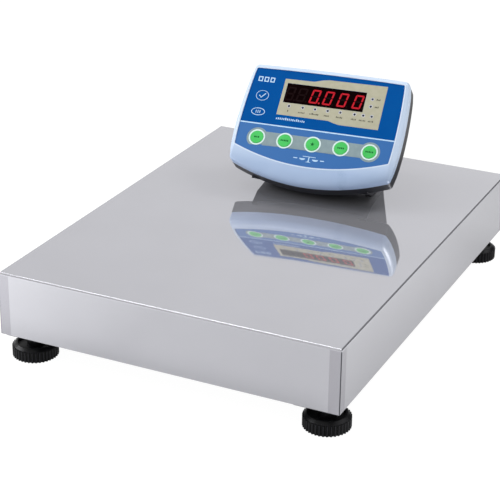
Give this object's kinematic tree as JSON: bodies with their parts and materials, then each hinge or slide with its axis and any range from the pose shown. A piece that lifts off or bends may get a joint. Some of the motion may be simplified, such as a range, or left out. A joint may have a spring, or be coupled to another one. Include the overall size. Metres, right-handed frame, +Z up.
{
  "type": "electronic bench scale",
  "caption": "Stainless platform weighing scale on levelling feet, with a sloping indicator terminal that stands free on the pan.",
  "frame": {"origin": "on the floor, under the centre of the platform", "axes": "+X along the short front edge, +Y from the front edge to the back along the long side, +Z up"},
  "size_m": [0.4516, 0.6, 0.2717],
  "materials": {
    "stainless_sheet": "fine brushed",
    "rubber": "matt",
    "frame_paint": "powder coated, fine texture",
    "zinc_plate": "bright zinc plated",
    "cell_aluminium": "milled and anodised",
    "black_plastic": "moulded, matt",
    "vial_glass": "clear, green liquid",
    "case_blue": "moulded ABS, satin",
    "case_black": "moulded ABS, satin",
    "overlay_film": "screen-printed polycarbonate film",
    "window_acrylic": "polished, dark red",
    "display_epoxy": "cast epoxy",
    "circuit_board": "solder mask",
    "ring_white": "printed",
    "key_green": "moulded, smooth",
    "battery_case": "moulded ABS",
    "rocker_red": "moulded nylon",
    "knob_nylon": "moulded nylon"
  },
  "bodies": {
    "base": {"load_cell": "cell_aluminium", "lower_cell_bolts": "zinc_plate", "lower_spacer": "zinc_plate", "lower_plate": "frame_paint", "base_side_rails": "frame_paint", "base_cross_rails": "frame_paint", "base_end_caps": "black_plastic", "foot_brackets": "frame_paint", "lock_nuts": "zinc_plate", "overload_screws": "zinc_plate", "overload_nuts": "zinc_plate", "level_holder": "black_plastic", "level_vial": "vial_glass", "cable_gland": "black_plastic"},
    "live_frame": {"pan_cushions": "rubber", "upper_side_rails": "frame_paint", "upper_cross_rails": "frame_paint", "upper_end_caps": "black_plastic", "upper_plate": "frame_paint", "upper_spacer": "zinc_plate", "upper_cell_bolts": "zinc_plate"},
    "pan": {"pan": "stainless_sheet"},
    "terminal": {"front_case": "case_blue", "rear_case": "case_black", "stand_shell": "case_black", "face_overlay": "overlay_film", "display_window": "window_acrylic", "led_display": "display_epoxy", "display_board": "circuit_board", "status_leds": "display_epoxy", "key_rings": "ring_white", "key_switches": "black_plastic", "key_board": "circuit_board", "main_board": "circuit_board", "battery": "battery_case", "switch_frame": "black_plastic", "dc_jack": "black_plastic", "cell_socket": "zinc_plate", "case_screws": "zinc_plate", "terminal_feet": "rubber"},
    "battery_door": {"battery_door": "case_black"},
    "power_rocker": {"power_rocker": "rocker_red"},
    "key_1": {"key_1": "key_green"},
    "key_2": {"key_2": "key_green"},
    "key_3": {"key_3": "key_green"},
    "key_4": {"key_4": "key_green"},
    "key_5": {"key_5": "key_green"},
    "foot_1": {"foot_sole_1": "rubber"},
    "foot_1_screw": {"foot_knob_1": "knob_nylon", "foot_stud_1": "zinc_plate"},
    "foot_2": {"foot_sole_2": "rubber"},
    "foot_2_screw": {"foot_knob_2": "knob_nylon", "foot_stud_2": "zinc_plate"},
    "foot_3": {"foot_sole_3": "rubber"},
    "foot_3_screw": {"foot_knob_3": "knob_nylon", "foot_stud_3": "zinc_plate"},
    "foot_4": {"foot_sole_4": "rubber"},
    "foot_4_screw": {"foot_knob_4": "knob_nylon", "foot_stud_4": "zinc_plate"}
  },
  "joints": [
    {"name": "load_deflection", "type": "slide", "parent": "base", "child": "live_frame", "axis": [0, 0, 1], "range_m": [-0.0006, 0], "stiffness_N_per_m": 980000, "springref_m": 0.00015, "deforming": ["load_cell"]},
    {"name": "pan_lift", "type": "slide", "parent": "live_frame", "child": "pan", "axis": [0, 0, 1], "range_m": [0, 0.1]},
    {"name": "terminal_lift", "type": "slide", "parent": "pan", "child": "terminal", "axis": [0, 0, 1], "range_m": [0, 0.08]},
    {"name": "battery_door_slide", "type": "slide", "parent": "terminal", "child": "battery_door", "axis": [-0.0475, 0.5218, 0.8517], "range_m": [0, 0.045]},
    {"name": "power_switch", "type": "hinge", "parent": "terminal", "child": "power_rocker", "pos_m": [0.10377, 0.1753, 0.21359], "axis": [0.9959, 0.0906, 0], "range_deg": [-12, 0]},
    {"name": "key_1_press", "type": "slide", "parent": "terminal", "child": "key_1", "axis": [-0.0657, 0.7224, -0.6884], "range_m": [0, 0.0005], "stiffness_N_per_m": 1500, "springref_m": -0.0003},
    {"name": "key_2_press", "type": "slide", "parent": "terminal", "child": "key_2", "axis": [-0.0657, 0.7224, -0.6884], "range_m": [0, 0.0005], "stiffness_N_per_m": 1500, "springref_m": -0.0003},
    {"name": "key_3_press", "type": "slide", "parent": "terminal", "child": "key_3", "axis": [-0.0657, 0.7224, -0.6884], "range_m": [0, 0.0005], "stiffness_N_per_m": 1500, "springref_m": -0.0003},
    {"name": "key_4_press", "type": "slide", "parent": "terminal", "child": "key_4", "axis": [-0.0657, 0.7224, -0.6884], "range_m": [0, 0.0005], "stiffness_N_per_m": 1500, "springref_m": -0.0003},
    {"name": "key_5_press", "type": "slide", "parent": "terminal", "child": "key_5", "axis": [-0.0657, 0.7224, -0.6884], "range_m": [0, 0.0005], "stiffness_N_per_m": 1500, "springref_m": -0.0003},
    {"name": "foot_1_height", "type": "slide", "parent": "base", "child": "foot_1", "axis": [0, 0, 1], "range_m": [-0.01401, 0.00351]},
    {"name": "foot_1_turn", "type": "hinge", "parent": "foot_1", "child": "foot_1_screw", "pos_m": [-0.197, -0.268, 0], "axis": [0, 0, 1], "range_deg": [-2880, 720]},
    {"name": "foot_2_height", "type": "slide", "parent": "base", "child": "foot_2", "axis": [0, 0, 1], "range_m": [-0.01401, 0.00351]},
    {"name": "foot_2_turn", "type": "hinge", "parent": "foot_2", "child": "foot_2_screw", "pos_m": [0.197, -0.268, 0], "axis": [0, 0, 1], "range_deg": [-2880, 720]},
    {"name": "foot_3_height", "type": "slide", "parent": "base", "child": "foot_3", "axis": [0, 0, 1], "range_m": [-0.01401, 0.00351]},
    {"name": "foot_3_turn", "type": "hinge", "parent": "foot_3", "child": "foot_3_screw", "pos_m": [-0.197, 0.268, 0], "axis": [0, 0, 1], "range_deg": [-2880, 720]},
    {"name": "foot_4_height", "type": "slide", "parent": "base", "child": "foot_4", "axis": [0, 0, 1], "range_m": [-0.01401, 0.00351]},
    {"name": "foot_4_turn", "type": "hinge", "parent": "foot_4", "child": "foot_4_screw", "pos_m": [0.197, 0.268, 0], "axis": [0, 0, 1], "range_deg": [-2880, 720]}
  ],
  "couplings": [
    {"joint": "foot_1_height", "follows": "foot_1_turn", "m_per_rad": 0.00027852},
    {"joint": "foot_2_height", "follows": "foot_2_turn", "m_per_rad": 0.00027852},
    {"joint": "foot_3_height", "follows": "foot_3_turn", "m_per_rad": 0.00027852},
    {"joint": "foot_4_height", "follows": "foot_4_turn", "m_per_rad": 0.00027852}
  ]
}
